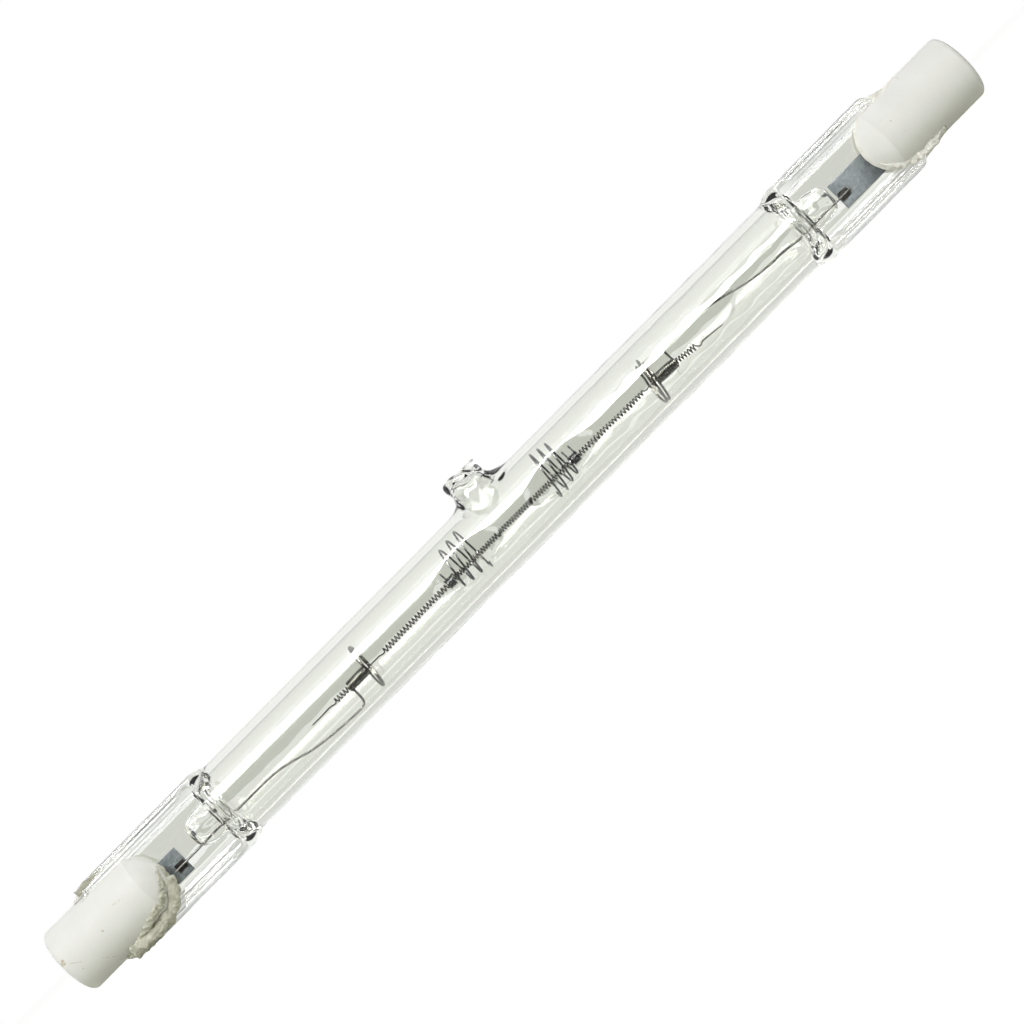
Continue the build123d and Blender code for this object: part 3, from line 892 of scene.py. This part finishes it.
def grip_and_ring_skin(side, grip_start, turns_at_start, ring_pitch, ring_turns, ring_level, slant):
    """Tight turns, then the ring: its radius and middle ease out from the grip."""
    turns = np.linspace(0, grip_turns + ring_turns, 420)
    past = np.maximum(turns - grip_turns, 0)
    opened = ease(past / ring_opening)
    gripped = np.minimum(turns, grip_turns) * grip_pitch
    along = side * (grip_start - gripped - past * ring_pitch)
    middle = filament_middle(along)
    distance = grip_distance + (ring_distance - grip_distance) * opened
    level = middle + (ring_level - middle) * opened
    path, reference = wound(along, turns_at_start + side * turns, distance, level)
    path[:, 0] += slant * opened * (path[:, 1] - level)
    return wire_skin(path, lead_radius, reference, 10)


front_reference = np.array([0.15, 0.2, 1.0])
for side, name, grip_start, first_turn, ring_pitch, ring_turns, ring_level, slant in (
    (-1, "left", 22.25, 0.5, 0.12, 2.1, -0.2, 0.06),
    (1, "right", 20.62, 0.72, 0.36, 2.2, -0.45, 0.13),
):
    make_piece(
        f"lead_wire_{name}",
        [
            wire_skin(smooth_line(lead_routes[name], 160), lead_radius, front_reference, 10),
            grip_and_ring_skin(side, grip_start, first_turn, ring_pitch, ring_turns, ring_level, slant),
        ],
        lead_metal,
        [f"inner_lead_{name}"],
    )

# %% [markdown]
# ## Foils and weld tabs
# A foil a few hundredths of a millimetre thick carries the current through the seal. Its long edges are
# etched to a feather edge, and it ripples a little. A plane with a Solidify modifier would have square
# edges, so the section is a flat lens carried along the seal.

# %% Foils
ripple_length = 2.4
fullness = 0.6


def sheet_skin(low, high, thick, ripple, seed, rows, columns=40):
    """Thin sheet between two corners: its section is an ellipse with fuller sides, and it ripples."""
    along = np.linspace(low[0], high[0], rows)[:, None]
    angle = np.linspace(0, 2 * np.pi, columns, endpoint=False)
    middle, half = (low + high) / 2, (high - low) / 2
    up = middle[1] + half[1] * np.cos(angle)
    flat = np.sign(np.sin(angle)) * np.abs(np.sin(angle)) ** fullness
    wave = ripple * lumps(lamp_points(along, up, 0), ripple_length, seed)
    return lamp_points(along, up, middle[2] + thick / 2 * flat + wave)


for seed, name in ((21, "left"), (22, "right")):
    for piece, node, metal, thick, ripple, draw, rows in (
        ("sealed_foil", "foil", foil_metal, 0.05, 0.018, seed, 60),
        ("weld", "weld_tab", tab_metal, 0.08, 0.02, seed + 10, 24),
    ):
        skin = sheet_skin(*lamp_box(f"{node}_{name}"), thick, ripple, draw, rows)
        make_piece(f"{piece}_{name}", [skin], metal, [f"{node}_{name}"])

# %% [markdown]
# ## Cement
# The cement in each slot has its place in the model, but real cement dries rough. A copy of its solid is
# remeshed into even small faces, and every point moves along its normal by lumps of two sizes. A Displace
# modifier could move them, but with arrays the lumps fade on the upper half and stay inside the CAD box.

# %% Rough cement
cement_voxel = 0.09
coarse_lumps, fine_lumps, fine_share = 1.3, 0.45, 0.45
smoothed_share = 0.7


def roughened(node, name, material, depth, seed):
    """Copy of a CAD node with even faces, each point moved along its normal by coarse and fine lumps,
    less on its upper half."""
    mesh = nodes[node].data.copy()
    merged = bmesh.new()
    merged.from_mesh(mesh)
    bmesh.ops.remove_doubles(merged, verts=merged.verts, dist=1e-7)
    merged.to_mesh(mesh)
    merged.free()
    piece = bpy.data.objects.new(name, mesh)
    bpy.context.scene.collection.objects.link(piece)
    even = piece.modifiers.new("even", "REMESH")
    even.mode = "VOXEL"
    even.voxel_size = cement_voxel * MILLIMETRE
    fine = bpy.data.meshes.new_from_object(piece.evaluated_get(bpy.context.evaluated_depsgraph_get()))
    piece.modifiers.clear()
    place = np.empty(len(fine.vertices) * 3, np.float32)
    normal = np.empty(len(fine.vertices) * 3, np.float32)
    fine.vertices.foreach_get("co", place)
    fine.vertices.foreach_get("normal", normal)
    place, normal = place.reshape(-1, 3), normal.reshape(-1, 3)
    points = place.astype(float) / MILLIMETRE
    height = lumps(points, coarse_lumps, seed) + fine_share * lumps(points, fine_lumps, seed + 1)
    height *= 1 - smoothed_share * ease((points[:, 2] - smear_start) / (smear_full - smear_start))
    moved = place + normal * (depth * MILLIMETRE * np.clip(height, -1, 1.6))[:, None]
    moved = np.clip(moved, cad_low, cad_high)
    fine.vertices.foreach_set("co", moved.astype(np.float32).ravel())
    fine.update()
    fine.shade_smooth()
    fine.materials.clear()
    fine.materials.append(material)
    piece.data = fine
    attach(piece, "root")
    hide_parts(node)
    print(name, len(fine.polygons), "faces")
    return piece


roughened("cement_left", "slot_cement_left", cement, 0.1, 40)
roughened("cement_right", "slot_cement_right", pale_cement, 0.035, 50)

# %% [markdown]
# ## Crust, strip and collar
# On the left cap the paste was pushed out of the slot: two lumpy beads follow the edge of the tongue, with a
# crack between them. A thin olive strip lies on the upper rail, and a small bead runs along the lower edge of
# the right cap's tongue. Sculpting would do, but a bead along a B-spline can be moved by its points.

# %% Beads of cement
closing_rows = 9
bead_lumps = ((0.3, 1.1), (0.2, 0.42), (0.1, 0.2))


def bead_skin(route, flatness, seed, rows=170, columns=34):
    """Lumpy bead: rings round a B-spline of points with their sizes, pushed about by lumps."""
    line = smooth_line(route, rows)
    path, size = line[:, :3], line[:, 3]
    closing = np.sqrt(np.clip(np.minimum(np.arange(rows), np.arange(rows)[::-1]) / closing_rows, 0.02, 1))
    tangent = unit(np.gradient(path, axis=0))
    side = unit(np.cross(tangent, np.array([0.0, 0, 1.0])))
    other = np.cross(tangent, side)
    angle = np.linspace(0, 2 * np.pi, columns, endpoint=False)[:, None]
    ring = np.cos(angle) * side[:, None] + flatness * np.sin(angle) * other[:, None]
    skin = path[:, None] + (size * closing)[:, None, None] * ring
    push = sum(share * lumps(skin, grain, seed + draw) for draw, (share, grain) in enumerate(bead_lumps))
    return skin + push[..., None] * (size * closing)[:, None, None] * ring


upper_bead = [
    (-46.45, 0.75, 1.7, 0.2), (-46.95, -0.35, 2.3, 0.42), (-47.5, -1.3, 2.55, 0.5),
    (-48.4, -1.95, 2.75, 0.5), (-50.3, -2.5, 2.4, 0.42), (-52.0, -2.9, 2.0, 0.36),
    (-53.5, -3.25, 1.4, 0.34), (-54.4, -3.45, 0.9, 0.25),
]
lower_bead = [
    (-46.7, -0.8, 1.5, 0.3), (-46.95, -2.0, 1.6, 0.45), (-47.5, -3.1, 1.75, 0.55),
    (-48.6, -3.75, 1.75, 0.5), (-50.5, -3.95, 1.7, 0.46), (-52.1, -3.9, 1.6, 0.46),
    (-53.3, -3.75, 1.4, 0.4), (-54.1, -3.6, 1.0, 0.25),
]
# Route of the thin olive strip on the left seal's upper rail.
smear = [
    (-53.5, 4.0, 1.6, 0.18), (-52.6, 4.1, 1.62, 0.3), (-51.6, 4.12, 1.62, 0.2), (-50.2, 4.15, 1.6, 0.05)
]
collar = [
    (46.75, -0.9, 1.75, 0.15), (47.1, -1.7, 1.9, 0.25), (47.9, -2.55, 1.95, 0.36), (49.1, -3.15, 1.85, 0.42),
    (50.5, -3.4, 1.75, 0.42), (52.0, -3.3, 1.65, 0.34), (53.3, -3.05, 1.7, 0.2),
]
crust = [bead_skin(upper_bead, 0.8, 61), bead_skin(lower_bead, 0.9, 71)]
make_piece("cement_crust_left", crust, cement)
make_piece("olive_rail_strip_left", [bead_skin(smear, 0.3, 81)], olive_strip_finish)
make_piece("cement_collar_right", [bead_skin(collar, 0.8, 91)], pale_cement)

# %% [markdown]
# ## Pieces that stay as they are
# Caps, contacts and outer leads have their whole shape in the model. They could be rebuilt like the glass,
# but that would add nothing, so they keep their meshes and only get their finish.

# %% Finishes on CAD nodes
for name in ("left", "right"):
    for node, finish in (
        (f"ceramic_cap_{name}", ceramic),
        (f"contact_{name}", contact_metal),
        (f"outer_lead_{name}", outer_lead_metal),
    ):
        nodes[node].data.materials.clear()
        nodes[node].data.materials.append(finish)
        print(node, "has", finish.name)

# %% [markdown]
# ## Stage
# A pale floor, a white world and soft studio light. The background is white for the camera and for what
# glass and metal show of it. A floor that is simply brighter would light the lamp from below, so floor and
# world tell the kinds of rays apart and are bright only where they are looked at.

# %% Floor
floor_glow, floor_seen, floor_seen_through = 1.105, 0.86, 0.62


def floor_finish():
    """Pale diffuse floor that keeps the shadow. It glows most for camera and glossy rays and less for
    transmission rays, so that the glass shows the floor's shading."""
    material, tree, shader = finish_of("pale_floor", Base_Color=(0.62, 0.63, 0.55, 1), Roughness=0.9)
    shader.inputs["Specular IOR Level"].default_value = 0.0
    glow = tree.nodes.new("ShaderNodeEmission")
    glow.inputs["Strength"].default_value = floor_glow
    path = tree.nodes.new("ShaderNodeLightPath")
    seen = combined(tree, "MAXIMUM", path.outputs["Is Camera Ray"], path.outputs["Is Glossy Ray"])
    direct = combined(tree, "MULTIPLY", seen, floor_seen)
    through = combined(tree, "MULTIPLY", path.outputs["Is Transmission Ray"], floor_seen_through)
    share = combined(tree, "MAXIMUM", direct, through)
    show_mix(tree, share, shader.outputs["BSDF"], glow.outputs["Emission"])
    return material


def flat_piece(name, corners, material):
    """Stage piece of one face with four corners."""
    mesh = bpy.data.meshes.new(name)
    mesh.from_pydata(corners, [], [(0, 1, 2, 3)])
    mesh.materials.append(material)
    piece = bpy.data.objects.new(name, mesh)
    bpy.context.scene.collection.objects.link(piece)
    return piece


def lying(x_half, y_near, y_far, z):
    """Corners of a level piece at a height, between two places along the view."""
    return [(-x_half, y_near, z), (x_half, y_near, z), (x_half, y_far, z), (-x_half, y_far, z)]


floor_half = 1.5
floor_level = cad_low.z
floor = flat_piece("floor", lying(floor_half, -floor_half, floor_half, floor_level), floor_finish())
print("floor", 2 * floor_half, "m wide at", round(floor_level / MILLIMETRE, 2), "mm")

# %% [markdown]
# ## World
# The world gives a weak light from all sides and a white background. A picture of a studio could light the
# lamp too, but plain white has no edges that the glass would show, and the cards add what is wanted.

# %% World
world_light, world_seen = 0.34, 1.0
world = bpy.data.worlds.new("studio")
bpy.context.scene.world = world
world.use_nodes = True
sky = world.node_tree
background = sky.nodes["Background"]
background.inputs["Color"].default_value = (1, 1, 1, 1)
ray = sky.nodes.new("ShaderNodeLightPath")
seen = combined(sky, "MAXIMUM", ray.outputs["Is Camera Ray"], ray.outputs["Is Glossy Ray"])
level = sky.nodes.new("ShaderNodeMapRange")
level.inputs["To Min"].default_value = world_light
level.inputs["To Max"].default_value = world_seen
sky.links.new(combined(sky, "MAXIMUM", seen, ray.outputs["Is Transmission Ray"]), level.inputs["Value"])
sky.links.new(level.outputs["Result"], background.inputs["Strength"])
print("world", world.name, "lights with", world_light, "and is seen with", world_seen)

# %% [markdown]
# ## Softboxes
# Two softboxes light the matte pieces, one from the front and a weaker one from behind. Small lights would
# throw hard shadows, and wide ones throw soft shadows. They are hidden from glass and metal, which show flat
# cards in their place.

# %% Softboxes
def softbox(name, azimuth, elevation, distance, width, height, watts):
    """Area light that faces the lamp: azimuth from its front, elevation above the level of its axis."""
    data = bpy.data.lights.new(name, "AREA")
    data.shape = "RECTANGLE"
    data.size, data.size_y, data.energy = width, height, watts
    lamp = bpy.data.objects.new(name, data)
    a, e = math.radians(azimuth), math.radians(elevation)
    back = np.array([math.sin(a) * math.cos(e), -math.cos(a) * math.cos(e), math.sin(e)])
    side = unit(np.cross([0, 0, 1.0], back))
    top = np.cross(back, side)
    place = Matrix.Identity(4)
    for column, axis in enumerate((side, top, back, back * distance)):
        for row in range(3):
            place[row][column] = axis[row]
    lamp.matrix_world = place
    lamp.visible_camera = False
    bpy.context.scene.collection.objects.link(lamp)
    return lamp


for lamp in (
    softbox("key_softbox", -15, 40, 0.5, 0.42, 0.21, 2.0),
    softbox("back_softbox", 180, 45, 0.6, 0.5, 0.3, 0.9),
):
    lamp.visible_glossy = False
    lamp.visible_transmission = False
    print(lamp.name, lamp.data.energy, "W")

# %% [markdown]
# ## Cards
# Flat cards stand round the lamp as in a product studio: bright ones for the long streaks and the wires'
# highlights, dark ones for the reflections of the camera's side, and grey ones for the backdrop and for the
# shade under the lamp. Lights alone could make the streaks, but cards can be set one by one without changing
# the light on the caps.

# %% Card helpers
def card(name, corners, grey, sides=("glossy", "transmission"), mirrored=False):
    """Flat studio card that glass and metal show, and that the camera and matte surfaces don't see. A
    mirrored card shows only after a reflection and is clear to a straight look through the glass."""
    material = bpy.data.materials.new(name)
    material.use_nodes = True
    tree = material.node_tree
    glow = tree.nodes.new("ShaderNodeEmission")
    glow.inputs["Color"].default_value = (*grey, 1)
    if mirrored:
        path = tree.nodes.new("ShaderNodeLightPath")
        clear = tree.nodes.new("ShaderNodeBsdfTransparent")
        show_mix(tree, path.outputs["Glossy Depth"], clear.outputs["BSDF"], glow.outputs["Emission"])
    else:
        tree.links.new(glow.outputs["Emission"], tree.nodes["Material Output"].inputs["Surface"])
    tree.nodes.remove(tree.nodes["Principled BSDF"])
    piece = flat_piece(name, corners, material)
    piece.visible_camera = False
    piece.visible_diffuse = False
    piece.visible_shadow = False
    piece.visible_glossy = "glossy" in sides
    piece.visible_transmission = "transmission" in sides
    return piece


def standing(foot, low, high):
    """Corners of an upright card over two points of the floor, between two heights."""
    return [(*foot[0], low), (*foot[1], low), (*foot[1], high), (*foot[0], high)]


def across(y, x_half, elevation_low, elevation_high):
    """Corners of a card across the view, between two elevations as seen from the lamp's middle."""
    low, high = (abs(y) * math.tan(math.radians(e)) for e in (elevation_low, elevation_high))
    return standing([(-x_half, y), (x_half, y)], low, high)


# %% Cards
streak_light, dark_side = (38.0, 38.0, 37.2), (0.10, 0.10, 0.095)
streak_y, streak_half = -0.383, 0.3
streak_edges = [
    ((-streak_half, streak_y, left), (streak_half, streak_y, right))
    for left, right in ((0.32, 0.05), (0.62, 0.13), (0.95, 0.42), (2.2, 1.5))
]
streak_cards = (
    ("streak_card", streak_light),
    ("halo_card", (3.0, 3.0, 2.95)),
    ("haze_card", (1.5, 1.5, 1.48)),
)
for (name, grey), foot, top in zip(streak_cards, streak_edges, streak_edges[1:]):
    card(name, [*foot, *top[::-1]], grey, mirrored=True)
for side, name in ((-1, "left"), (1, "right")):
    corners = standing([(side * 0.31, -0.39), (side * 0.5, -0.08)], 0.2, 0.55)
    card(f"{name}_wing", corners, streak_light, ("transmission",), mirrored=True)
camera_side = -0.42
card("camera_side_card", across(camera_side, 0.6, -0.4, 60), dark_side, mirrored=True)
card("front_floor_card", lying(0.6, camera_side, -0.008, -0.0043), dark_side, mirrored=True)
shade_level, lamp_half = -0.0044, 0.056
for name, near, far, grey in (
    ("contact_shade", -0.0006, 0.0055, (0.70, 0.70, 0.68)),
    ("soft_shade", 0.0055, 0.016, (0.84, 0.845, 0.82)),
    ("far_shade", 0.021, 0.05, (0.80, 0.80, 0.775)),
):
    card(name, lying(lamp_half, near, far, shade_level), grey, ("transmission",))
card("ceiling_card", lying(0.7, 0.0, 0.42, 0.5), (0.7, 0.7, 0.69))
card("backdrop_card", across(0.6, 0.5, -0.4, 5.0), (0.74, 0.75, 0.71), ("transmission",))
for side, name in ((-1, "left"), (1, "right")):
    corners = standing([(side * 0.7, 0.15), (side * 0.35, 0.5)], -0.004, 0.12)
    card(f"{name}_flag", corners, (0.17, 0.17, 0.19), ("transmission",))

# %% [markdown]
# ## Camera
# The camera looks at the flat side of the seals. It is turned about its own axis, so that the lamp runs from
# the lower left to the upper right corner. The lamp could be turned instead, but then it would leave the
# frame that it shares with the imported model.

# %% Camera
view_distance = 220.0
view_turn = math.radians(45.29)
view_width = 95.3
view_place = (-0.04, 0.26)
camera_data = bpy.data.cameras.new("camera")
camera_data.sensor_width = 36.0
camera_data.lens = camera_data.sensor_width * view_distance / view_width
camera_data.clip_start, camera_data.clip_end = 0.005, 20.0
camera = bpy.data.objects.new("camera", camera_data)
right = np.array([math.cos(view_turn), 0, -math.sin(view_turn)])
top = np.array([math.sin(view_turn), 0, math.cos(view_turn)])
behind = np.array([0, -1.0, 0])
stand = np.array([view_place[0], -view_distance, view_place[1]]) * MILLIMETRE
camera.matrix_world = Matrix(
    [[right[k], top[k], behind[k], stand[k]] for k in range(3)] + [[0, 0, 0, 1]]
)
bpy.context.scene.collection.objects.link(camera)
bpy.context.scene.camera = camera
bpy.context.scene.view_settings.view_transform = "Standard"
print("camera", view_distance, "mm in front, lens", round(camera_data.lens, 1), "mm")
